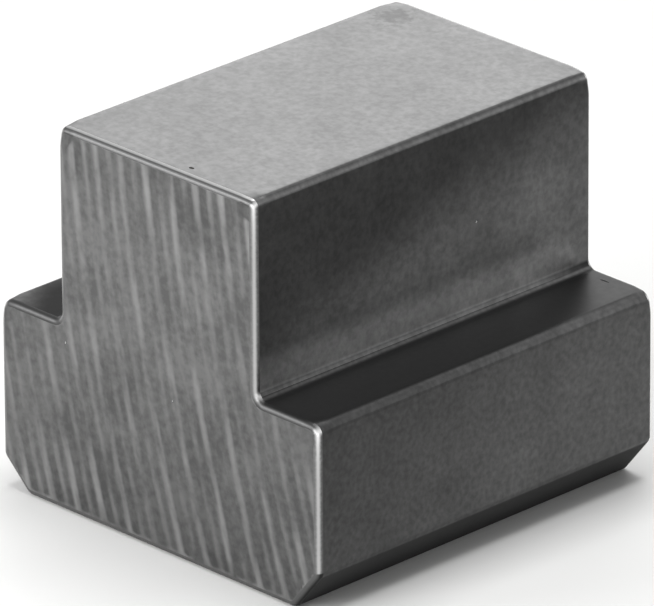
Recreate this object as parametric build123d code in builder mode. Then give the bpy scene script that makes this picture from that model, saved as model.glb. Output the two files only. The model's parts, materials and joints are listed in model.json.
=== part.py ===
from build123d import *
import os

# T-slot nut blank: one solid of cold-drawn T-section steel bar, sawn to length.
# It slides along a machine table's T-slot. The neck stands in the slot's throat, and the shoulders
# on top of the wider head bear up against the slot's ledges when a stud in the neck is tightened.
# The blank has no thread: its user drills and taps the neck.
# Frame, in millimetres: X across the slot, Y along it, Z up. The origin is the centre of the
# head's underside.

# The T-slot's throat, and how the neck runs in it.
slot_width = 22.0
neck_side_play = 0.5
neck_width = slot_width - neck_side_play

# The drawn bar's section.
head_width = 35.0
head_height = 15.9
neck_height = 16.4
lead_chamfer = 2.9  # 45 degrees along both lower edges of the head, to clear the slot's corners

# The radii that the drawing die leaves along the bar.
neck_corner_radius = 0.65
head_corner_radius = 0.9
neck_foot_radius = 0.8
lead_corner_radius = 0.8

# The saw cuts at both ends, and the break around each sawn face.
length = 36.2
end_break = 0.3

with BuildPart() as nut_blank:
    with BuildSketch(Plane.XZ) as section:
        Rectangle(head_width, head_height, align=(Align.CENTER, Align.MIN))
        with Locations((0, head_height)):
            Rectangle(neck_width, neck_height, align=(Align.CENTER, Align.MIN))

        base_corners = section.vertices().group_by(Axis.Y)[0]
        chamfer(base_corners, length=lead_chamfer)

        neck_corners = section.vertices().group_by(Axis.Y)[-1]
        fillet(neck_corners, radius=neck_corner_radius)

        shoulder_points = section.vertices().filter_by_position(Axis.Y, head_height, head_height)
        neck_feet = shoulder_points.sort_by(Axis.X)[1:-1]
        fillet(neck_feet, radius=neck_foot_radius)

        head_corners = section.vertices().group_by(Axis.X)[0] + section.vertices().group_by(Axis.X)[-1]
        upper_corners = head_corners.filter_by_position(Axis.Y, head_height, head_height)
        fillet(upper_corners, radius=head_corner_radius)

        lead_corners = section.vertices().group_by(Axis.Y)[0] + section.vertices().group_by(Axis.Y)[1]
        fillet(lead_corners, radius=lead_corner_radius)
    extrude(amount=length / 2, both=True)

    sawn_faces = nut_blank.faces().filter_by(Axis.Y)
    fillet(sawn_faces.edges(), radius=end_break)

os.makedirs("parts", exist_ok=True)
nut_blank.part.label = "nut_blank"
export_step(nut_blank.part, "parts/nut_blank.step")
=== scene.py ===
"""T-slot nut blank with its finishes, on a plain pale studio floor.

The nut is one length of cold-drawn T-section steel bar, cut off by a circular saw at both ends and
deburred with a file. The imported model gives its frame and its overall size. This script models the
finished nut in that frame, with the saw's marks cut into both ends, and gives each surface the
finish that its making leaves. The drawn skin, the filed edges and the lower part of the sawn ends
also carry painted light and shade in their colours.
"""
import json
import logging
import math
from collections.abc import Callable
from dataclasses import dataclass, field, replace
from enum import Enum, IntEnum
from typing import Any

import bmesh
import bpy
from mathutils import Matrix, Vector


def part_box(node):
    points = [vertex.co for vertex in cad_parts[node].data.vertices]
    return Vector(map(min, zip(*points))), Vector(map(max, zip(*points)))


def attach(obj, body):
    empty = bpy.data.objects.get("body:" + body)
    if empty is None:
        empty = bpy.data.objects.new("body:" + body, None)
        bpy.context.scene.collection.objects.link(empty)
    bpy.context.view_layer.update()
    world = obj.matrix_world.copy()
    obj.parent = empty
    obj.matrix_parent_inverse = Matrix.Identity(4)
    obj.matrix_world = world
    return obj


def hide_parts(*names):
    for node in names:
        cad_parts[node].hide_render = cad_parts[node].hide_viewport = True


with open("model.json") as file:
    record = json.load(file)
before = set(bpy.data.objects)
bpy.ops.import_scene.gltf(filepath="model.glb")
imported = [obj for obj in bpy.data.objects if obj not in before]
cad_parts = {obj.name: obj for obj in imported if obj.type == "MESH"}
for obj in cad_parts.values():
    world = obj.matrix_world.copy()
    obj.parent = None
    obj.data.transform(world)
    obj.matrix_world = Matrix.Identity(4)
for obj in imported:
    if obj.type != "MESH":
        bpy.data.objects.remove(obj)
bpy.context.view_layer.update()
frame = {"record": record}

MM = 0.001
CAD_NODE = "nut_blank"
BODY = "root"

Socket = bpy.types.NodeSocket
# Two numbers that belong together, such as where something starts and where it ends.
Pair = tuple[float, float]

# Points closer than this are joined when the mesh is cut.
WELD = 0.001 * MM
# An edge or a face runs or looks along an axis when that part of its direction is above these.
ALONG = 0.9
SQUARE = 0.99
# Blender's wood texture makes this many radians of wave in each unit of distance.
WOOD_RADIANS = 20
# Most of a noise texture's values lie in this range.
NOISE_SPAN = (0.3, 0.7)
# The settings of a MapRange that eases in and out, and of a Mix that takes colours.
SOFT = {"interpolation_type": "SMOOTHSTEP"}
COLOURS = {"data_type": "RGBA"}

log = logging.getLogger("t_slot_nut")


def linear(colour: str) -> tuple[float, float, float, float]:
    """Turns an sRGB hex colour into linear light.

    Args:
        colour: Six hex digits after a hash, such as "#7A7A78".

    Returns:
        Red, green, blue and an alpha of 1, as a shader socket takes them.
    """
    channels = (int(colour[i : i + 2], 16) / 255 for i in (1, 3, 5))
    return (*(c / 12.92 if c <= 0.04045 else ((c + 0.055) / 1.055) ** 2.4 for c in channels), 1.0)


class Element(Enum):
    """What an edit-mode selection picks."""

    EDGE = "EDGE"
    FACE = "FACE"


def select_where(element: Element, test: Callable[[Vector, Vector], bool]) -> int:
    """Selects the shown edges or faces of the mesh in edit mode that pass a test.

    Args:
        element: Whether edges or faces are picked.
        test: Takes an element's centre and its direction, which is an edge's unit run or a face's
            normal, and says whether to pick it.

    Returns:
        How many were picked.
    """
    bpy.ops.mesh.select_mode(type=element.value)
    bpy.ops.mesh.select_all(action="DESELECT")
    mesh = bmesh.from_edit_mesh(bpy.context.edit_object.data)
    picked = 0
    for item in mesh.edges if element is Element.EDGE else mesh.faces:
        if item.hide:
            continue
        if element is Element.EDGE:
            first, last = (v.co for v in item.verts)
            centre, direction = (first + last) / 2, (last - first).normalized()
        else:
            centre, direction = item.calc_center_median(), item.normal
        if test(centre, direction):
            item.select_set(True)
            picked += 1
    mesh.select_flush_mode()
    bmesh.update_edit_mesh(bpy.context.edit_object.data)
    return picked


def near(value: float, target: float) -> bool:
    """Says whether two lengths in metres are the same within a hundredth of a millimetre."""
    return abs(value - target) < 0.01 * MM


def cut_mesh(point: Vector, normal: Vector) -> None:
    """Cuts the shown faces of the mesh in edit mode along a plane.

    Args:
        point: A point on the plane.
        normal: The way that the plane faces.
    """
    bpy.ops.mesh.select_all(action="SELECT")
    bpy.ops.mesh.bisect(plane_co=point, plane_no=normal, threshold=WELD)


def direction(azimuth: float, elevation: float) -> Vector:
    """Gives the way from the nut to a place round it.

    Args:
        azimuth: The place's turn in degrees, 0 in front of the nut at -Y and 90 on its +X side.
        elevation: Its height over the level, in degrees.

    Returns:
        A unit vector.
    """
    turn, lift = math.radians(azimuth), math.radians(elevation)
    across = math.cos(lift)
    return Vector((math.sin(turn) * across, -math.cos(turn) * across, math.sin(lift)))


class NodeGraph:
    """A shader's nodes."""

    def __init__(self, tree: bpy.types.NodeTree) -> None:
        """Takes over a node tree and clears it."""
        self.tree = tree
        self.tree.nodes.clear()

    def add(
        self,
        kind: str,
        *inputs: Any,
        named: dict[str, Any] | None = None,
        output: str = "",
        **settings: Any,
    ) -> Socket | None:
        """Adds one node with its settings, and fills its sockets.

        What goes into a socket is an output socket to link, a value, or a hex colour, which goes in
        as linear light.

        Args:
            kind: The node's type name, without its "ShaderNode".
            inputs: What goes into the sockets that the settings leave open, in order.
            named: What goes into sockets picked by their names.
            output: The name of the output to give back, or nothing for the first open one.
            settings: The node's own properties.

        Returns:
            The output socket, or None for a node without one.
        """
        node = self.tree.nodes.new(f"ShaderNode{kind}")
        for name, setting in settings.items():
            setattr(node, name, setting)
        in_order = zip([socket for socket in node.inputs if socket.enabled], inputs)
        by_name = ((node.inputs[name], source) for name, source in (named or {}).items())
        for socket, source in (*in_order, *by_name):
            if isinstance(source, Socket):
                self.tree.links.new(source, socket)
            else:
                socket.default_value = linear(source) if isinstance(source, str) else source
        if output:
            return node.outputs[output]
        return next((socket for socket in node.outputs if socket.enabled), None)


class MaterialGraph(NodeGraph):
    """One material and its nodes."""

    def __init__(self, name: str) -> None:
        """Starts a material.

        Args:
            name: The material's name.
        """
        self.material = bpy.data.materials.new(name)
        self.material.use_nodes = True
        super().__init__(self.material.node_tree)


class NutGraph(MaterialGraph):
    """One of the nut's materials, with what its patterns start from.

    These are each point's place on the nut in metres, whole and axis by axis, and the three numbers
    of the way that it faces.
    """

    def __init__(self, name: str) -> None:
        """Starts a material and its places and facings.

        Args:
            name: The material's name.
        """
        super().__init__(name)
        self.place = self.add("TexCoord", output="Object")
        self.x, self.y, self.z = self.add("SeparateXYZ", self.place).node.outputs
        normal = self.place.node.outputs["Normal"]
        self.facing = tuple(self.add("SeparateXYZ", normal).node.outputs)


@dataclass(frozen=True)
class SawCut:
    """Where the circular saw's blade ran, and how its teeth marked the cut faces.

    The marks are arcs about the blade's centre. Teeth set to either side in turn make every other
    mark deeper.
    """

    centre_x: float = 160 * MM
    centre_z: float = 49 * MM
    tooth_pitch: float = 1.37 * MM
    tooth_depth: float = 0.009 * MM
    set_depth: float = 0.005 * MM

    @property
    def full_depth(self) -> float:
        """The deepest that a mark goes below the sawn face."""
        return self.tooth_depth + self.set_depth


@dataclass(frozen=True)
class DrawnSteel:
    """Cold-drawn low-carbon steel, left as it came out of the die.

    Phosphate and drawing soap leave a dull dark grey skin with a soft sheen, clouded on the scale
    of half a millimetre, with faint lines along the bar. Painted shade darkens the shoulders along
    the neck's foot, and the faces that look down. The neck's sides carry a painted reflection:
    lighter near the shoulders, up to a rim that climbs from the front end to the back, and darker
    above it, with painted light just above the foot. The head's sides carry a painted reflection
    that is lighter low down and towards the back. The rounded long edges carry painted highlights
    and shade.

    A shade is a factor on the skin's colour. The spans of the underside, the fillet and the corner
    are of how far up a point faces: 0 on an upright face, and 1 on one that looks straight up.
    """

    head_height: float
    neck_half_width: float
    half_length: float
    foot_radius: float
    name: str = "drawn_steel"
    side_edge: Pair = (0.4 * MM, 0.1 * MM)
    colour: str = "#525252"
    cloud_colour: str = "#464646"
    # Painted shade on the shoulders along the neck's foot, laid as a dull film that is not a metal.
    shoulder_shade_colour: str = "#191919"
    underside_shade_colour: str = "#343434"
    underside_span: Pair = (-0.35, -0.65)
    stain_colour: str = "#303030"
    roughness: float = 0.30
    side_roughness: float = 0.42
    uneven_polish: Pair = (0.02, -0.02)
    matt_gain: float = 0.4
    shade_film_sheen: float = 0.13
    cloud_size: float = 0.5 * MM
    cloud_span: Pair = (0.32, 0.68)
    patch_size: float = 5 * MM
    patch_detail: Pair = (4.0, 0.65)
    patch_shades: Pair = (0.84, 1.16)
    line_spacing: float = 0.25 * MM
    line_run: tuple[float, float, float] = (1.0, 0.02, 1.0)
    shoulder_shade_right: Pair = (6.0 * MM, 6.5 * MM)
    shoulder_shade_left: Pair = (2.2 * MM, 6.4 * MM)
    shoulder_shade_front: Pair = (1 * MM, 4 * MM)
    shoulder_shade_advance: float = 2.4 * MM
    shoulder_shade_fray: float = 0.6 * MM
    shoulder_shade_rim: Pair = (0.02 * MM, 0.15 * MM)
    neck_start: float = 0.3 * MM
    upper_reflection_shade: float = 0.50
    lower_reflection_shade: float = 1.45
    reflection_rims: Pair = (18.5 * MM, 30.0 * MM)
    reflection_fade: float = 4.0 * MM
    head_reflection_shades: Pair = (0.72, 1.22)
    head_fade: Pair = (-41.9 * MM, -9.9 * MM)
    foot_light_shades: Pair = (3.4, 4.6)
    foot_height: float = 4.2 * MM
    foot_margin: float = 0.005 * MM
    foot_end: float = 8 * MM
    fillet_shades: tuple[float, float, float] = (1.05, 0.22, 1.2)
    fillet_upper: Pair = (0.03, 0.31)
    fillet_lower: Pair = (0.59, 0.76)
    crest_highlights: Pair = (1.05, 3.4)
    corner_band: tuple[Pair, Pair] = ((0.08, 0.45), (0.5, 0.83))
    corner_line_shade: float = 0.85
    corner_line: tuple[Pair, Pair] = ((0.1, 0.22), (0.35, 0.6))
    stain_place: tuple[float, float, float] = (-8.0 * MM, 15.4 * MM, 32.3 * MM)
    stain_fray: float = 1.8 * MM
    stain_rim: Pair = (0.12 * MM, 2.28 * MM)
    stain_strength: float = 0.9
    skin_depth: float = 0.0005 * MM

    def build(self) -> bpy.types.Material:
        """Makes the drawn skin's material.

        Returns:
            The material.
        """
        graph = NutGraph(self.name)
        clouds = graph.add("TexNoise", graph.place, 1 / self.cloud_size)
        patches = graph.add("TexNoise", graph.place, 1 / self.patch_size, *self.patch_detail)
        # The die's lines run the whole length of the bar, so their pattern is stretched along Y.
        along_bar = graph.add("VectorMath", graph.place, self.line_run, operation="MULTIPLY")
        lines = graph.add("TexNoise", along_bar, 1 / self.line_spacing)
        bumps = graph.add("Math", clouds, lines, operation="ADD")
        shoulder_shade = self._shoulder_shade(graph, patches)
        underneath = graph.add("MapRange", graph.facing[2], *self.underside_span, **SOFT)

        mottle = graph.add("MapRange", clouds, *self.cloud_span)
        colour = graph.add("Mix", mottle, self.cloud_colour, self.colour, **COLOURS)
        patch_shade = graph.add("MapRange", patches, *NOISE_SPAN, *self.patch_shades)
        for shade in (patch_shade, self._painted_light(graph)):
            colour = graph.add("VectorMath", colour, shade, operation="SCALE")
        # Painted shade on the shoulders, darkest at the neck's foot.
        colour = graph.add("Mix", shoulder_shade, colour, self.shoulder_shade_colour, **COLOURS)
        stain = self._stain(graph, clouds)
        colour = graph.add("Mix", stain, colour, self.stain_colour, **COLOURS)
        # Painted shade on the faces that look down, in a darker colour.
        colour = graph.add("Mix", underneath, colour, self.underside_shade_colour, **COLOURS)

        # Painted shade at the neck's foot and under the bar is laid as a film that is not a metal.
        # Under the bar it is matt.
        polish = graph.add("Mix", self._on_side(graph), self.roughness, self.side_roughness)
        uneven = graph.add("MapRange", clouds, *NOISE_SPAN, *self.uneven_polish)
        matt = graph.add("Math", underneath, self.matt_gain, operation="MULTIPLY")
        for gain in (uneven, matt):
            polish = graph.add("Math", polish, gain, operation="ADD")
        covered = graph.add("Math", shoulder_shade, underneath, operation="MAXIMUM")
        look = {
            "Base Color": colour,
            "Metallic": graph.add("Math", 1.0, covered, operation="SUBTRACT"),
            "Roughness": polish,
            "Specular IOR Level": self.shade_film_sheen,
            "Normal": graph.add(
                "Bump", named={"Height": bumps, "Distance": self.skin_depth, "Strength": 1.0}
            ),
        }
        graph.add("OutputMaterial", graph.add("BsdfPrincipled", named=look))
        return graph.material

    def _on_side(self, graph: NutGraph) -> Socket:
        """Says which points are on a side of the neck or of the head, or out on a shoulder.

        Args:
            graph: The material's graph.

        Returns:
            1 on a side, and 0 on the top.
        """
        out = graph.add("Math", graph.x, operation="ABSOLUTE")
        edge = (self.neck_half_width - inset for inset in self.side_edge)
        return graph.add("MapRange", out, *edge)

    def _painted_light(self, graph: NutGraph) -> Socket:
        """Says how much painted light and shade make the sides and the long edges lighter or darker
        than the plain skin.

        Args:
            graph: The material's graph.

        Returns:
            A shade, which is 1 on the flat of the top.
        """
        neck_start = self.head_height + self.neck_start
        is_neck = graph.add("Math", graph.z, neck_start, operation="GREATER_THAN")
        neck = graph.add("Math", self._neck_reflection(graph), self._foot_light(graph), operation="MULTIPLY")
        # The head's sides get a painted reflection that is lighter towards the back, and lighter twice
        # as fast down the side.
        back_and_down = graph.add("Math", graph.z, -2.0, graph.y, operation="MULTIPLY_ADD")
        head = graph.add("MapRange", back_and_down, *self.head_fade, *self.head_reflection_shades)
        side = graph.add("Mix", is_neck, head, neck)
        side = graph.add("Mix", self._on_side(graph), 1.0, side)
        return graph.add("Math", side, self._edge_highlights(graph, is_neck), operation="MULTIPLY")

    def _neck_reflection(self, graph: NutGraph) -> Socket:
        """Says how the neck's sides go from their lighter lower part to their darker upper part, a
        painted reflection.

        Args:
            graph: The material's graph.

        Returns:
            A shade.
        """
        # Painted reflection: lighter below a rim that climbs from the front end to the back.
        rim = graph.add("MapRange", graph.y, -self.half_length, self.half_length, *self.reflection_rims)
        below_rim = graph.add("Math", rim, graph.z, operation="SUBTRACT")
        fade = (-self.reflection_fade, self.reflection_fade)
        shades = (self.upper_reflection_shade, self.lower_reflection_shade)
        return graph.add("MapRange", below_rim, *fade, *shades, **SOFT)

    def _foot_light(self, graph: NutGraph) -> Socket:
        """Says how much painted light brightens the neck's sides just above its foot, up to near the
        back end.

        Args:
            graph: The material's graph.

        Returns:
            A shade.
        """
        most = graph.add(
            "MapRange", graph.y, -self.half_length, self.half_length / 2, *self.foot_light_shades
        )
        end = (self.half_length - self.foot_end, self.half_length)
        before_end = graph.add("MapRange", graph.y, *end, 1.0, 0.0, **SOFT)
        foot = (self.head_height + self.foot_radius, self.head_height + self.foot_height)
        low = graph.add("MapRange", graph.z, *foot, 1.0, 0.0, **SOFT)
        amount = graph.add("Math", before_end, low, operation="MULTIPLY")
        return graph.add("Mix", amount, 1.0, most)

    def _edge_highlights(self, graph: NutGraph, is_neck: Socket) -> Socket:
        """Says how much painted highlight and shade make the bar's rounded long edges lighter or darker
        than the sides.

        Args:
            graph: The material's graph.
            is_neck: 1 on the neck and 0 on the head.

        Returns:
            A shade, which is 1 on every flat.
        """
        # Painted highlight along the crest of the convex edges, strongest on the neck, and a painted
        # dark line below it.
        crest_shade = graph.add("Mix", is_neck, *self.crest_highlights)
        crest = graph.add("Mix", self._band(graph, self.corner_band), 1.0, crest_shade)
        line = graph.add("Mix", self._band(graph, self.corner_line), 1.0, self.corner_line_shade)
        convex = graph.add("Math", crest, line, operation="MULTIPLY")
        # Painted highlight and shade across the neck's foot fillet.
        top, middle, low = self.fillet_shades
        upper = graph.add("MapRange", graph.facing[2], *self.fillet_upper, top, middle)
        gain = (0.0, low - middle)
        lower = graph.add("MapRange", graph.facing[2], *self.fillet_lower, *gain, **SOFT)
        fillet = graph.add("Math", upper, lower, operation="ADD")
        foot = self.head_height + self.foot_margin
        foot_top = self.head_height + self.foot_radius - self.foot_margin
        above = graph.add("Math", graph.z, foot, operation="GREATER_THAN")
        below = graph.add("Math", graph.z, foot_top, operation="LESS_THAN")
        in_foot = graph.add("Math", above, below, operation="MULTIPLY")
        return graph.add("Mix", in_foot, convex, fillet)

    def _band(self, graph: NutGraph, band: tuple[Pair, Pair]) -> Socket:
        """Picks out a band along the rounded edges, by how far up they face.

        Args:
            graph: The material's graph.
            band: Over which facings the band comes in, and over which it goes.

        Returns:
            1 in the band and 0 outside it.
        """
        coming = graph.add("MapRange", graph.facing[2], *band[0])
        going = graph.add("MapRange", graph.facing[2], *band[1], 1.0, 0.0)
        return graph.add("Math", coming, going, operation="MULTIPLY")

    def _shoulder_shade(self, graph: NutGraph, patches: Socket) -> Socket:
        """Says how much painted shade darkens the shoulders, which is most at the neck's foot.

        Args:
            graph: The material's graph.
            patches: The pattern that frays its rim on the left.

        Returns:
            An amount from 0 to 1.
        """
        out = graph.add("Math", graph.x, operation="ABSOLUTE")
        from_neck = graph.add("Math", out, self.neck_half_width, operation="SUBTRACT")
        right = graph.add("MapRange", from_neck, *self.shoulder_shade_right, 1.0, 0.0, **SOFT)
        fray = graph.add("MapRange", patches, *NOISE_SPAN, -self.shoulder_shade_fray, self.shoulder_shade_fray)
        front = (inset - self.half_length for inset in self.shoulder_shade_front)
        advance = graph.add("MapRange", graph.y, *front, 0.0, -self.shoulder_shade_advance)
        frayed = from_neck
        for shift in (fray, advance):
            frayed = graph.add("Math", frayed, shift, operation="ADD")
        left = graph.add("MapRange", frayed, *self.shoulder_shade_left, 1.0, 0.0, **SOFT)
        is_right = graph.add("Math", graph.x, 0.0, operation="GREATER_THAN")
        by_neck = graph.add("Mix", is_right, left, right)
        off_shoulder = graph.add("Math", graph.z, self.head_height, operation="SUBTRACT")
        off_shoulder = graph.add("Math", off_shoulder, operation="ABSOLUTE")
        on_shoulder = graph.add("MapRange", off_shoulder, *self.shoulder_shade_rim, 1.0, 0.0, **SOFT)
        return graph.add("Math", by_neck, on_shoulder, operation="MULTIPLY")

    def _stain(self, graph: NutGraph, clouds: Socket) -> Socket:
        """Says how much of the ragged stain near one back corner of the top is at each point.

        Args:
            graph: The material's graph.
            clouds: The pattern that makes it ragged.

        Returns:
            An amount from 0 to 1.
        """
        gap = graph.add("VectorMath", graph.place, self.stain_place, operation="DISTANCE")
        fray = graph.add("MapRange", clouds, 0.0, 1.0, -self.stain_fray, self.stain_fray)
        ragged = graph.add("Math", gap, fray, operation="ADD")
        return graph.add("MapRange", ragged, *self.stain_rim, self.stain_strength, 0.0, **SOFT)


@dataclass(frozen=True)
class SawnSteel:
    """Steel cut by a circular saw: bare, coarse and mid grey.

    Light ridges follow the teeth in arcs and fade in and out along them, over a torn and mottled
    ground. The lows of the marks keep some cutting oil, so they look darker. The marks are plainest
    where the teeth enter and leave the cut, at the top and the bottom.
    """

    cut: SawCut
    neck_top: float
    ridge_colour: str = "#9A9A9A"
    ground_colour: str = "#787878"
    dark_colour: str = "#626262"
    roughness: float = 0.48
    uneven_polish: float = 0.05
    mottle_size: float = 0.7 * MM
    mottle_detail: Pair = (3.0, 0.55)
    patch_size: float = 5 * MM
    tear_size: Pair = (0.3 * MM, 1.6 * MM)
    tear_detail: Pair = (3.0, 0.65)
    tear_share: float = 0.3
    tear_depth: float = 0.005 * MM
    torn_span: Pair = (0.92, 1.38)
    fade_size: Pair = (1.3 * MM, 5 * MM)
    fade_span: Pair = (0.36, 0.66)
    ridge_strengths: Pair = (0.05, 0.6)
    ridge_reach: float = 0.75
    low_painted_shade: float = 0.84
    low_rim: Pair = (13.0 * MM, 19.0 * MM)
    exit_depth: float = 9 * MM
    exit_bottom: float = 0.75
    exit_shade: float = 0.78
    exit_gain: float = 1.7

    def build(self) -> bpy.types.Material:
        """Makes the sawn ends' material.

        Returns:
            The material.
        """
        graph = NutGraph("sawn_steel")
        around = self._around_blade(graph)
        tears = self._streaks(graph, around, self.tear_size, *self.tear_detail)
        fades = self._streaks(graph, around, self.fade_size)
        mottle = graph.add("TexNoise", graph.place, 1 / self.mottle_size, *self.mottle_detail)
        patches = graph.add("TexNoise", graph.place, 1 / self.patch_size)
        depth = graph.add("Attribute", output="Fac", attribute_name=NutBlank.MARK_DEPTH)
        ridge = graph.add("MapRange", depth, 0.0, self.ridge_reach, 1.0, 0.0, **SOFT)
        near_exit = self._near_exit(graph)

        torn = graph.add("Math", tears, self.tear_share, mottle, operation="MULTIPLY_ADD")
        light = graph.add("Math", torn, patches, operation="ADD")
        light = graph.add("MapRange", light, *self.torn_span)
        colour = graph.add("Mix", light, self.dark_colour, self.ground_colour, **COLOURS)
        # Painted shade: the sawn faces are darker low down, on the head's part.
        low_painted_shade = graph.add("MapRange", graph.z, *self.low_rim, self.low_painted_shade, 1.0)
        groove = graph.add("Math", 1.0, ridge, operation="SUBTRACT")
        groove = graph.add("Math", groove, near_exit, operation="MULTIPLY")
        oil_shade = graph.add("MapRange", groove, 0.0, 1.0, 1.0, self.exit_shade)
        for shade in (low_painted_shade, oil_shade):
            colour = graph.add("VectorMath", colour, shade, operation="SCALE")
        shine = graph.add("MapRange", fades, *self.fade_span, *self.ridge_strengths)
        gain = graph.add("MapRange", near_exit, 0.0, 1.0, 1.0, self.exit_gain)
        for factor in (gain, ridge):
            shine = graph.add("Math", shine, factor, operation="MULTIPLY")
        rough, smooth = self.roughness + self.uneven_polish, self.roughness - self.uneven_polish
        look = {
            "Base Color": graph.add("Mix", shine, colour, self.ridge_colour, **COLOURS),
            "Metallic": 1.0,
            "Roughness": graph.add("MapRange", light, 0.0, 1.0, rough, smooth),
            "Normal": graph.add(
                "Bump", named={"Height": torn, "Distance": self.tear_depth, "Strength": 1.0}
            ),
        }
        graph.add("OutputMaterial", graph.add("BsdfPrincipled", named=look))
        return graph.material

    def _near_exit(self, graph: NutGraph) -> Socket:
        """Says how near a point is to where the teeth enter or leave the cut.

        Args:
            graph: The material's graph.

        Returns:
            A nearness from 0 to 1.
        """
        top = (self.neck_top - self.exit_depth, self.neck_top)
        near_top = graph.add("MapRange", graph.z, *top)
        near_bottom = graph.add("MapRange", graph.z, 0.0, self.exit_depth, self.exit_bottom, 0.0)
        return graph.add("Math", near_top, near_bottom, operation="MAXIMUM")

    def _streaks(
        self, graph: NutGraph, around: Socket, size: Pair, *detail: float
    ) -> Socket:
        """Makes a noise that is drawn out along the blade's arcs.

        Args:
            graph: The material's graph.
            around: Each point's place about the blade.
            size: How wide and how long a streak is.
            detail: The noise's detail and roughness.

        Returns:
            The noise, from 0 to 1.
        """
        width, length = size
        run = graph.add("VectorMath", around, (1.0, width / length, 1.0), operation="MULTIPLY")
        return graph.add("TexNoise", run, 1 / width, *detail)

    def _around_blade(self, graph: NutGraph) -> Socket:
        """Gives a point's place about the blade's centre.

        Args:
            graph: The material's graph.

        Returns:
            A vector in metres: the distance from the blade's centre, the way along the arc, and the
            place along the bar.
        """
        centre = (self.cut.centre_x, 0.0, self.cut.centre_z)
        from_blade = graph.add("VectorMath", graph.place, centre, operation="SUBTRACT")
        x, y, z = graph.add("SeparateXYZ", from_blade).node.outputs
        radius = graph.add("VectorMath", graph.add("CombineXYZ", x, z), operation="LENGTH")
        sine = graph.add("Math", z, radius, operation="DIVIDE")
        angle = graph.add("Math", sine, operation="ARCSINE")
        along_arc = graph.add("Math", angle, self.cut.centre_x, operation="MULTIPLY")
        return graph.add("CombineXYZ", radius, along_arc, y)


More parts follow.
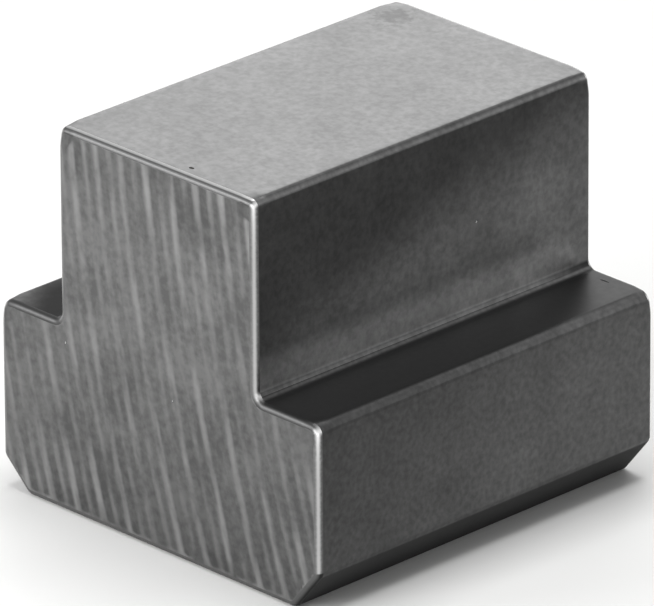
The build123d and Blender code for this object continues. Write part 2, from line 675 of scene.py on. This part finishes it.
@dataclass(frozen=True)
class FiledSteel:
    """Steel laid open by a file and by handling, along the edges of the sawn faces.

    The bare steel is light, and a painted highlight makes it brightest in the middle of each
    upright edge, and most at its upper tip. It fades into painted shade on either side, which is
    lighter on the sawn face's side. The edges that lie level stay duller, and get painted
    highlights, shade and reflection by which way they face.

    A span is where one colour gives way to the next, by how far a point faces along an axis.
    """

    neck_half_width: float
    neck_top: float
    head_top: float
    colour: str = "#BABABA"
    tip_highlight_colour: str = "#E6E6E6"
    rim_shade_colour: str = "#525252"
    end_rim_light_colour: str = "#6E6E6E"
    top_rim_highlight_colour: str = "#9E9E9E"
    top_core_shade_colour: str = "#525252"
    top_front_light_colour: str = "#6E6E6E"
    low_rim_shade_colour: str = "#505050"
    bottom_reflection_colour: str = "#6C6C6C"
    chamfer_shade_colour: str = "#303030"
    shoulder_rim_shade_colour: str = "#3C3C3C"
    shoulder_front_light_colour: str = "#585858"
    level_span: Pair = (0.35, 0.65)
    slant_span: Pair = (0.03, 0.15)
    bare_span: Pair = (0.76, 1.0)
    end_rim_span: Pair = (0.6, 0.8)
    top_core_span: Pair = (0.80, 0.93)
    top_front_span: Pair = (0.45, 0.62)
    shoulder_span: Pair = (0.5, 0.9)
    low_rim_span: Pair = (0.15, 0.35)
    bottom_span: Pair = (0.5, 0.9)
    roughness: float = 0.40
    uneven_polish: float = 0.08
    tip_reach: Pair = (0.2 * MM, 6 * MM)
    tip_power: float = 2.2
    tip_steps: Pair = (0.1 * MM, 3 * MM)
    scratch_size: float = 0.3 * MM
    scratch_detail: Pair = (3.0, 0.6)
    rim_fray: float = 0.02

    def build(self) -> bpy.types.Material:
        """Makes the filed edges' material.

        Returns:
            The material.
        """
        graph = NutGraph("filed_steel")
        scratches = graph.add("TexNoise", graph.place, 1 / self.scratch_size, *self.scratch_detail)
        facing = [graph.add("Math", part, operation="ABSOLUTE") for part in graph.facing]
        is_low = graph.add("Math", graph.z, 0.5 * self.head_top, operation="LESS_THAN")
        levelness = self._levelness(graph, facing, is_low)
        upright = self._upright_edge(graph, facing, scratches)
        level = self._level_edge(graph, facing, is_low)
        rough, smooth = self.roughness + self.uneven_polish, self.roughness - self.uneven_polish
        look = {
            "Base Color": graph.add("Mix", levelness, upright, level, **COLOURS),
            "Metallic": 1.0,
            "Roughness": graph.add("MapRange", scratches, 0.0, 1.0, rough, smooth),
        }
        graph.add("OutputMaterial", graph.add("BsdfPrincipled", named=look))
        return graph.material

    def _levelness(self, graph: NutGraph, facing: list[Socket], is_low: Socket) -> Socket:
        """Says whether an edge lies level or stands upright.

        Args:
            graph: The material's graph.
            facing: How far a point faces along each axis, either way.
            is_low: 1 near the bottom and 0 above.

        Returns:
            1 where the edge lies level, and 0 where it stands upright.
        """
        across, _, up = facing
        # Round a corner of the section, an edge lies level once it faces up more than sideways.
        both = graph.add("Math", across, up, operation="ADD")
        share = graph.add("Math", up, both, operation="DIVIDE")
        level = graph.add("MapRange", share, *self.level_span, **SOFT)
        slanted = graph.add("MapRange", up, *self.slant_span, **SOFT)
        slanted = graph.add("Math", slanted, is_low, operation="MULTIPLY")
        return graph.add("Math", level, slanted, operation="MAXIMUM")

    def _upright_edge(self, graph: NutGraph, facing: list[Socket], scratches: Socket) -> Socket:
        """Colours the upright edges: bare steel with a painted highlight in the middle, and a rim of
        painted shade beside each flat.

        Args:
            graph: The material's graph.
            facing: How far a point faces along each axis, either way.
            scratches: The pattern that frays the rims.

        Returns:
            A colour.
        """
        # A face that looks straight along one axis is at the edge's rim, next to a flat.
        squareness = graph.add("Math", *facing[:2], operation="MAXIMUM")
        fray = graph.add("MapRange", scratches, *NOISE_SPAN, -self.rim_fray, self.rim_fray)
        frayed = graph.add("Math", squareness, fray, operation="ADD")
        # The bright middle is a painted highlight on the bare steel, and the rims are painted shade.
        middle = graph.add("MapRange", frayed, *self.bare_span, 1.0, 0.0, **SOFT)
        bare = graph.add("Mix", self._tip(graph), self.colour, self.tip_highlight_colour, **COLOURS)
        by_end = graph.add("MapRange", facing[1], *self.end_rim_span)
        rim = graph.add("Mix", by_end, self.rim_shade_colour, self.end_rim_light_colour, **COLOURS)
        return graph.add("Mix", middle, rim, bare, **COLOURS)

    def _level_edge(self, graph: NutGraph, facing: list[Socket], is_low: Socket) -> Socket:
        """Colours the level edges of the top, the shoulders and the bottom, with painted highlights,
        shade and reflection by which way they face.

        Args:
            graph: The material's graph.
            facing: How far a point faces along each axis, either way.
            is_low: 1 near the bottom and 0 above.

        Returns:
            A colour.
        """
        _, along, up = facing
        # The neck's edges get painted highlights at both rims and painted shade between them.
        core = graph.add("MapRange", up, *self.top_core_span, **SOFT)
        top = graph.add("Mix", core, self.top_core_shade_colour, self.top_rim_highlight_colour, **COLOURS)
        front = graph.add("MapRange", up, *self.top_front_span, 1.0, 0.0, **SOFT)
        top = graph.add("Mix", front, top, self.top_front_light_colour, **COLOURS)
        # The head's get painted shade by the shoulder and are a little brighter in front.
        front = graph.add("MapRange", up, *self.shoulder_span, 1.0, 0.0, **SOFT)
        shoulder = graph.add(
            "Mix", front, self.shoulder_rim_shade_colour, self.shoulder_front_light_colour, **COLOURS
        )
        is_top = graph.add("Math", graph.z, self.head_top + 1 * MM, operation="GREATER_THAN")
        upper = graph.add("Mix", is_top, shoulder, top, **COLOURS)
        # Next to the sawn faces the level edges get painted shade.
        by_sawn_face = graph.add("MapRange", up, *self.low_rim_span, 1.0, 0.0, **SOFT)
        upper = graph.add("Mix", by_sawn_face, upper, self.low_rim_shade_colour, **COLOURS)
        # Low down, a painted reflection where the edges face along the bar, and painted shade on the
        # chamfers' edges.
        turned = graph.add("MapRange", along, *self.bottom_span)
        lower = graph.add("Mix", turned, self.chamfer_shade_colour, self.bottom_reflection_colour, **COLOURS)
        return graph.add("Mix", is_low, upper, lower, **COLOURS)

    def _tip(self, graph: NutGraph) -> Socket:
        """Says how much painted highlight a point gets near the top of its upright edge, on the neck or
        on the head.

        Args:
            graph: The material's graph.

        Returns:
            A nearness from 0 to 1.
        """
        out = graph.add("Math", graph.x, operation="ABSOLUTE")
        neck_end, head_start = (self.neck_half_width + step for step in self.tip_steps)
        on_neck = graph.add("Math", out, neck_end, operation="LESS_THAN")
        on_head = graph.add("Math", out, head_start, operation="GREATER_THAN")
        top = graph.add("Mix", on_neck, self.head_top, self.neck_top)
        below_top = graph.add("Math", top, graph.z, operation="SUBTRACT")
        nearness = graph.add("MapRange", below_top, *self.tip_reach, 1.0, 0.0)
        nearness = graph.add("Math", nearness, self.tip_power, operation="POWER")
        on_edge = graph.add("Math", on_neck, on_head, operation="MAXIMUM")
        return graph.add("Math", nearness, on_edge, operation="MULTIPLY")


@dataclass(frozen=True)
class PitGrime:
    """Dark oxide and dirt in the bottom of a small pit, dull and almost black."""

    colour: str = "#252422"
    fleck_colour: str = "#3A3835"
    roughness: float = 0.75
    fleck_size: float = 0.1 * MM

    def build(self) -> bpy.types.Material:
        """Makes the pits' material.

        Returns:
            The material.
        """
        graph = MaterialGraph("pit_grime")
        place = graph.add("TexCoord", output="Object")
        flecks = graph.add("TexNoise", place, 1 / self.fleck_size)
        colour = graph.add("Mix", flecks, self.colour, self.fleck_colour, **COLOURS)
        look = {"Base Color": colour, "Roughness": self.roughness}
        graph.add("OutputMaterial", graph.add("BsdfPrincipled", named=look))
        return graph.material


@dataclass(frozen=True)
class BackdropPaper:
    """Matt white studio paper, with a tooth too fine to see."""

    colour: str = "#F6F6F5"
    roughness: float = 0.95
    sheen: float = 0.1

    def build(self) -> bpy.types.Material:
        """Makes the floor's material.

        Returns:
            The material.
        """
        graph = MaterialGraph("backdrop_paper")
        look = {
            "Base Color": self.colour,
            "Roughness": self.roughness,
            "Specular IOR Level": self.sheen,
        }
        graph.add("OutputMaterial", graph.add("BsdfPrincipled", named=look))
        return graph.material


class Finish(IntEnum):
    """The nut's material slots, in order."""

    DRAWN = 0
    SAWN = 1
    FILED = 2
    GRIME = 3
    DRY_DRAWN = 4


@dataclass(frozen=True)
class Nick:
    """One small dent: its place on the surface in metres, its half sizes, and what it shows."""

    place: tuple[float, float, float]
    half_size: tuple[float, float, float]
    finish: Finish


@dataclass
class NutBlank:
    """The nut blank: head, neck, shoulders, lower chamfers and two sawn ends.

    All sizes are in metres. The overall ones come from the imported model.
    """

    MARK_DEPTH = "mark_depth"

    low: Vector
    high: Vector
    head_height: float
    neck_width: float = 21.5 * MM
    lead_across: float = 2.75 * MM
    lead_heights: Pair = (2.6 * MM, 3.4 * MM)
    neck_corner_radius: float = 0.65 * MM
    head_corner_radius: float = 0.9 * MM
    neck_foot_radius: float = 0.8 * MM
    lead_corner_radius: float = 0.8 * MM
    front_break: float = 0.5 * MM
    back_break: float = 0.3 * MM
    neck_knock: float = 0.17 * MM
    head_knock: float = 0.15 * MM
    knock_reach: float = 1.8 * MM
    knock_steps: tuple[float, ...] = (0.3, 0.5, 0.75, 1.0)
    left_shade_sheen: float = 0.02
    grid_across: float = 0.2 * MM
    grid_up: float = 0.4 * MM
    saw: SawCut = field(default_factory=SawCut)

    @property
    def head_width(self) -> float:
        """The head's width across the slot."""
        return self.high.x - self.low.x

    @property
    def length(self) -> float:
        """The nut's length along the slot."""
        return self.high.y - self.low.y

    @property
    def height(self) -> float:
        """The nut's height from the head's underside to the neck's top."""
        return self.high.z - self.low.z

    @property
    def nicks(self) -> tuple[Nick, ...]:
        """The knocks and pits that this nut has picked up."""
        front = self.low.y
        return (
            Nick(
                place=(2.7 * MM, -16.8 * MM, self.height),
                half_size=(0.26 * MM, 0.16 * MM, 0.14 * MM),
                finish=Finish.GRIME,
            ),
            Nick(
                place=(13.5 * MM, 16.9 * MM, self.head_height),
                half_size=(0.5 * MM, 0.12 * MM, 0.04 * MM),
                finish=Finish.DRAWN,
            ),
            Nick(
                place=(-10.15 * MM, front, 14.3 * MM),
                half_size=(0.11 * MM, 0.08 * MM, 0.14 * MM),
                finish=Finish.FILED,
            ),
            Nick(
                place=(1.7 * MM, front, 13.1 * MM),
                half_size=(0.1 * MM, 0.08 * MM, 0.11 * MM),
                finish=Finish.FILED,
            ),
            Nick(
                place=(self.neck_width / 2, 5.6 * MM, 23.5 * MM),
                half_size=(0.07 * MM, 0.1 * MM, 0.1 * MM),
                finish=Finish.FILED,
            ),
        )

    def build(self) -> bpy.types.Object:
        """Models the nut and dresses it.

        Returns:
            The finished object, at the origin, with its place in its mesh.
        """
        nut = self._block()
        self._section_shape()
        self._round_the_bar()
        self._deepen_left_shoulder_shade()
        self._saw_ends()
        self._refine_corners()
        self._grid_ends()
        self._knock_corners()
        bpy.ops.object.mode_set(mode="OBJECT")
        self._cut_marks(nut)
        for nick in self.nicks:
            self._dent(nut, nick)
        self._record_mark_depth(nut)
        self._smooth(nut)
        return nut

    def _block(self) -> bpy.types.Object:
        """Starts the head as a block at its size and place, with the nut's finishes.

        Returns:
            The block, in edit mode.
        """
        bpy.ops.object.select_all(action="DESELECT")
        bpy.ops.mesh.primitive_cube_add(size=1.0, location=(0.0, 0.0, self.head_height / 2))
        nut = bpy.context.object
        nut.name = "t_slot_nut"
        nut.scale = (self.head_width, self.length, self.head_height)
        bpy.ops.object.transform_apply(location=True, rotation=True, scale=True)
        drawn = DrawnSteel(
            self.head_height, self.neck_width / 2, self.length / 2, self.neck_foot_radius
        )
        for finish in (
            drawn,
            SawnSteel(self.saw, self.height),
            FiledSteel(self.neck_width / 2, self.height, self.head_height),
            PitGrime(),
            replace(drawn, name="dry_drawn_steel", shade_film_sheen=self.left_shade_sheen),
        ):
            nut.data.materials.append(finish.build())
        bpy.ops.object.mode_set(mode="EDIT")
        return nut

    def _section_shape(self) -> None:
        """Raises the neck out of the block and chamfers the head's lower edges."""
        for side in (-1, 1):
            cut_mesh(Vector((side * self.neck_width / 2, 0.0, 0.0)), Vector((1.0, 0.0, 0.0)))
        select_where(Element.FACE, lambda at, way: way.z > SQUARE and near(at.x, 0.0))
        bpy.ops.mesh.extrude_region_move(
            TRANSFORM_OT_translate={"value": (0.0, 0.0, self.height - self.head_height)}
        )
        bpy.ops.mesh.select_all(action="SELECT")
        bpy.ops.mesh.dissolve_limited(angle_limit=math.radians(1))
        half = self.head_width / 2
        select_where(Element.EDGE, lambda at, way: self._is_long_edge(at, way, half, 0.0))
        bpy.ops.mesh.bevel(offset=self.lead_across, segments=1, affect="EDGES", clamp_overlap=False)
        # The bar's two chamfers differ a little in height, so their upper edges slide.
        for side, height in zip((-1, 1), self.lead_heights):
            select_where(
                Element.EDGE,
                lambda at, way: at.x * side > 0
                and self._is_long_edge(at, way, half, self.lead_across),
            )
            bpy.ops.transform.translate(value=(0.0, 0.0, height - self.lead_across))

    def _round_the_bar(self) -> None:
        """Gives every long edge the radius that the drawing die leaves."""
        half_head, half_neck = self.head_width / 2, self.neck_width / 2
        # Where an edge turns by about 45 degrees, the flat ends this far before the corner.
        lead_offset = self.lead_corner_radius * math.tan(math.radians(45) / 2)
        rounds = (
            (half_neck, self.height, self.neck_corner_radius, 6),
            (half_head, self.head_height, self.head_corner_radius, 8),
            (half_neck, self.head_height, self.neck_foot_radius, 6),
            (half_head, self.lead_heights[0], lead_offset, 4),
            (half_head, self.lead_heights[1], lead_offset, 4),
            (half_head - self.lead_across, 0.0, lead_offset, 4),
        )
        for out, up, offset, segments in rounds:
            select_where(Element.EDGE, lambda at, way: self._is_long_edge(at, way, out, up))
            bpy.ops.mesh.bevel(
                offset=offset, segments=segments, profile=0.5, affect="EDGES", clamp_overlap=False
            )

    def _is_long_edge(self, at: Vector, way: Vector, out: float, up: float) -> bool:
        """Says whether an edge runs along the bar, this far out to either side and this high."""
        return abs(way.y) > ALONG and near(abs(at.x), out) and near(at.z, up)

    def _is_end(self, at: Vector, way: Vector) -> bool:
        """Says whether a face lies on one of the sawn ends."""
        return abs(way.y) > SQUARE and near(abs(at.y), self.length / 2)

    def _saw_ends(self) -> None:
        """Gives the ends their sawn finish, and breaks their edges with a file."""
        for end, size in ((-1, self.front_break), (1, self.back_break)):
            select_where(Element.FACE, lambda at, way: self._is_end(at, way) and at.y * end > 0)
            bpy.context.object.active_material_index = Finish.SAWN
            bpy.ops.object.material_slot_assign()
            bpy.ops.mesh.select_mode(type="EDGE")
            bpy.ops.mesh.region_to_loop()
            bpy.ops.mesh.bevel(
                offset=size,
                segments=4,
                profile=0.5,
                affect="EDGES",
                clamp_overlap=False,
                material=Finish.FILED,
            )

    def _deepen_left_shoulder_shade(self) -> None:
        """Gives the left shoulder's flat a copy of the skin with less of a sheen, which deepens its
        painted shade.
        """
        select_where(
            Element.FACE,
            lambda at, way: way.z > SQUARE and near(at.z, self.head_height) and at.x < 0,
        )
        bpy.context.object.active_material_index = Finish.DRY_DRAWN
        bpy.ops.object.material_slot_assign()

    @property
    def _upper_corners(self) -> list[tuple[Vector, float]]:
        """The corners of the neck's top and of the head's top, each with how deep it is knocked."""
        return [
            (Vector((x * out, y * self.length / 2, up)), depth)
            for out, up, depth in (
                (self.neck_width / 2, self.height, self.neck_knock),
                (self.head_width / 2, self.head_height, self.head_knock),
            )
            for x in (-1, 1)
            for y in (-1, 1)
        ]

    def _refine_corners(self) -> None:
        """Cuts the flats near the upper corners more finely, so that the corners can be pressed."""
        cuts = set()
        for corner, _ in self._upper_corners:
            for axis in range(3):
                for step in self.knock_steps:
                    inset = math.copysign(step * self.knock_reach, corner[axis])
                    cuts.add((axis, round(corner[axis] - inset, 7)))
        for axis, at in sorted(cuts):
            normal = Vector((axis == 0, axis == 1, axis == 2))
            cut_mesh(normal * at, normal)

    def _knock_corners(self) -> None:
        """Presses in the upper corners, which file and knocks have rounded more than the edges."""
        bpy.ops.mesh.select_mode(type="VERT")
        for corner, depth in self._upper_corners:
            bpy.ops.mesh.select_all(action="DESELECT")
            mesh = bmesh.from_edit_mesh(bpy.context.object.data)
            tip = min(mesh.verts, key=lambda vertex: (vertex.co - corner).length)
            tip.select_set(True)
            mesh.select_flush_mode()
            inwards = Vector(math.copysign(1.0, -part) for part in corner).normalized()
            bpy.ops.transform.translate(
                value=inwards * depth,
                use_proportional_edit=True,
                proportional_edit_falloff="SMOOTH",
                proportional_size=self.knock_reach,
            )

    def _grid_ends(self) -> None:
        """Cuts both sawn faces into a fine grid that the saw marks can bend."""
        select_where(Element.FACE, self._is_end)
        bpy.ops.mesh.hide(unselected=True)
        for axis, low, high, pitch in (
            (Vector((1, 0, 0)), self.low.x, self.high.x, self.grid_across),
            (Vector((0, 0, 1)), self.low.z, self.high.z, self.grid_up),
        ):
            count = round((high - low) / pitch)
            for i in range(1, count):
                cut_mesh(axis * (low + (high - low) * i / count), axis)
        bpy.ops.mesh.reveal(select=False)

    def _cut_marks(self, nut: bpy.types.Object) -> None:
        """Presses the saw's arcs into both ends, as rings about the blade's centre.

        Args:
            nut: The nut, with its ends already gridded.
        """
        marked = nut.vertex_groups.new(name="sawn")
        sawn, others = set(), set()
        for polygon in nut.data.polygons:
            points = sawn if polygon.material_index == Finish.SAWN else others
            points.update(polygon.vertices)
        marked.add(sorted(sawn - others), 1.0, "REPLACE")
        for pitch, depth in (
            (self.saw.tooth_pitch, self.saw.tooth_depth),
            (2 * self.saw.tooth_pitch, self.saw.set_depth),
        ):
            self._press_rings(nut, marked.name, pitch, depth)

    def _press_rings(self, nut: bpy.types.Object, group: str, pitch: float, depth: float) -> None:
        """Displaces the sawn faces inwards by one set of rings.

        Args:
            nut: The nut.
            group: The vertex group of the sawn faces.
            pitch: The distance from one ring to the next.
            depth: How deep the rings go.
        """
        unit = pitch * WOOD_RADIANS / (2 * math.pi)
        bpy.ops.object.empty_add(location=(self.saw.centre_x, 0.0, self.saw.centre_z))
        blade = bpy.context.object
        # Stretched along the bar, so that only the distance across the blade's face counts.
        blade.scale = (unit, 1000 * unit, unit)
        rings = bpy.data.textures.new("saw_rings", "WOOD")
        rings.wood_type = "RINGS"
        rings.noise_basis_2 = "SIN"
        bpy.context.view_layer.objects.active = nut
        press = nut.modifiers.new("saw_rings", "DISPLACE")
        press.texture = rings
        press.texture_coords = "OBJECT"
        press.texture_coords_object = blade
        press.vertex_group = group
        press.mid_level = 1.0
        press.strength = depth
        bpy.context.view_layer.update()
        bpy.ops.object.modifier_apply(modifier=press.name)
        bpy.data.objects.remove(blade)
        bpy.data.textures.remove(rings)

    def _dent(self, nut: bpy.types.Object, nick: Nick) -> None:
        """Cuts one small dent into the nut.

        Args:
            nut: The nut.
            nick: The dent's place, size and finish.
        """
        bpy.ops.object.select_all(action="DESELECT")
        bpy.ops.mesh.primitive_uv_sphere_add(segments=12, ring_count=8, location=nick.place)
        cutter = bpy.context.object
        cutter.scale = nick.half_size
        bpy.ops.object.transform_apply(location=True, rotation=True, scale=True)
        for material in nut.data.materials:
            cutter.data.materials.append(material)
        for polygon in cutter.data.polygons:
            polygon.material_index = nick.finish
        bpy.context.view_layer.objects.active = nut
        cut = nut.modifiers.new("dent", "BOOLEAN")
        cut.operation = "DIFFERENCE"
        cut.solver = "EXACT"
        cut.object = cutter
        bpy.ops.object.modifier_apply(modifier=cut.name)
        bpy.data.objects.remove(cutter)

    def _record_mark_depth(self, nut: bpy.types.Object) -> None:
        """Stores how deep each point lies in the saw marks, from 0 to 1, for the sawn finish.

        Args:
            nut: The nut, with its marks cut.
        """
        depth = nut.data.attributes.new(self.MARK_DEPTH, "FLOAT", "POINT")
        for vertex, value in zip(nut.data.vertices, depth.data):
            value.value = (self.length / 2 - abs(vertex.co.y)) / self.saw.full_depth

    def _smooth(self, nut: bpy.types.Object) -> None:
        """Shades the radii smooth and keeps the flats flat.

        Args:
            nut: The nut.
        """
        bpy.ops.object.select_all(action="DESELECT")
        nut.select_set(True)
        bpy.context.view_layer.objects.active = nut
        bpy.ops.object.shade_smooth_by_angle(angle=math.radians(40))
        weigh = nut.modifiers.new("flat_faces", "WEIGHTED_NORMAL")
        weigh.keep_sharp = True
        bpy.ops.object.modifier_apply(modifier=weigh.name)


@dataclass(frozen=True)
class Softbox:
    """One square studio softbox, aimed at the nut, with its angles in degrees."""

    name: str
    azimuth: float
    elevation: float
    distance: float
    size: float
    power: float

    def build(self, target: Vector) -> bpy.types.Object:
        """Places the lamp.

        Args:
            target: The point that it faces.

        Returns:
            The lamp's object.
        """
        lamp = bpy.data.lights.new(self.name, "AREA")
        lamp.shape = "SQUARE"
        lamp.size = self.size
        lamp.energy = self.power
        box = bpy.data.objects.new(self.name, lamp)
        away = direction(self.azimuth, self.elevation)
        box.location = target + away * self.distance
        box.rotation_euler = away.to_track_quat("Z", "Y").to_euler()
        box.visible_camera = False
        bpy.context.scene.collection.objects.link(box)
        return box


@dataclass(frozen=True)
class Studio:
    """The floor, the lamps, the surroundings and the camera."""

    floor_size: float = 3.0
    surround_light: float = 0.3
    softboxes: tuple[Softbox, ...] = (
        Softbox("key_behind_left", azimuth=219, elevation=26, distance=0.30, size=0.18, power=0.22),
        Softbox("overhead", azimuth=180, elevation=85, distance=0.25, size=0.15, power=0.42),
        Softbox("front", azimuth=0, elevation=30, distance=0.30, size=0.15, power=0.30),
        Softbox("front_left", azimuth=-40, elevation=25, distance=0.30, size=0.15, power=0.30),
        Softbox("kicker_behind_right", azimuth=135, elevation=20, distance=0.30, size=0.15, power=0.04),
        Softbox("front_right_low", azimuth=45, elevation=8, distance=0.30, size=0.08, power=0.06),
    )

    def build(self, nut_middle: Vector) -> None:
        """Sets the studio up round the nut.

        Args:
            nut_middle: The middle of the nut, which the lamps face.
        """
        self._floor()
        self._surroundings()
        for softbox in self.softboxes:
            softbox.build(nut_middle)
            log.info("lamp %s at %.2f W", softbox.name, softbox.power)
        bpy.context.scene.view_settings.view_transform = "Standard"

    def _floor(self) -> None:
        """Lays the paper floor under the nut."""
        bpy.ops.object.select_all(action="DESELECT")
        bpy.ops.mesh.primitive_plane_add(size=self.floor_size)
        floor = bpy.context.object
        floor.name = "studio_floor"
        floor.data.materials.append(BackdropPaper().build())

    def _surroundings(self) -> None:
        """Gives a soft even light, and a white background to look at and to mirror."""
        world = bpy.data.worlds.new("studio")
        bpy.context.scene.world = world
        world.use_nodes = True
        graph = NodeGraph(world.node_tree)
        rays = graph.add("LightPath").node.outputs
        seen = rays["Is Camera Ray"]
        for kind in ("Is Glossy Ray", "Is Transmission Ray"):
            seen = graph.add("Math", seen, rays[kind], operation="MAXIMUM")
        soft = graph.add("Background", named={"Strength": self.surround_light})
        white = graph.add("Background", "#FFFFFF", 1.0)
        graph.add("OutputWorld", graph.add("MixShader", seen, soft, white))


@dataclass(frozen=True)
class StudioCamera:
    """A long lens that looks down on one front corner of the nut.

    Azimuth and elevation are as for the lamps. The camera faces the frame's origin, then slides
    sideways and up in its own plane, so that the nut fills the picture.
    """

    azimuth: float = 45.61
    elevation: float = 23.57
    roll: float = -0.33
    distance: float = 906.3 * MM
    slide: Pair = (-0.032 * MM, 13.883 * MM)
    focal_length: float = 642.07
    sensor_width: float = 36.0
    clip_start: float = 0.05

    def build(self) -> bpy.types.Object:
        """Makes the camera and gives it to the scene.

        Returns:
            The camera's object.
        """
        lens = bpy.data.cameras.new("studio_camera")
        lens.sensor_fit = "HORIZONTAL"
        lens.sensor_width = self.sensor_width
        lens.lens = self.focal_length
        lens.clip_start = self.clip_start
        camera = bpy.data.objects.new("studio_camera", lens)
        back = direction(self.azimuth, self.elevation)
        right = direction(self.azimuth + 90, 0.0)
        up = back.cross(right)
        roll = math.radians(self.roll)
        rolled_right = math.cos(roll) * right + math.sin(roll) * up
        rolled_up = math.cos(roll) * up - math.sin(roll) * right
        place = back * self.distance + rolled_right * self.slide[0] + rolled_up * self.slide[1]
        axes = Matrix((rolled_right, rolled_up, back)).transposed().to_4x4()
        camera.matrix_world = Matrix.Translation(place) @ axes
        bpy.context.scene.collection.objects.link(camera)
        bpy.context.scene.camera = camera
        return camera


def mount_height(record: dict[str, Any], name: str) -> float:
    """Gives the height of one of the record's mounts, in metres."""
    return next(m["pos_m"][2] for m in record["mounts"] if m["name"] == name)


def main() -> None:
    """Builds the nut on its body, then the studio and the camera."""
    logging.basicConfig(level=logging.INFO, format="%(name)s: %(message)s")
    low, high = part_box(CAD_NODE)
    shoulder = mount_height(frame["record"], "right_shoulder")
    nut = NutBlank(low, high, shoulder).build()
    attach(nut, BODY)
    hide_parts(CAD_NODE)
    log.info("piece %s: %d faces", nut.name, len(nut.data.polygons))
    Studio().build((low + high) / 2)
    StudioCamera().build()


if __name__ == "__main__":
    main()
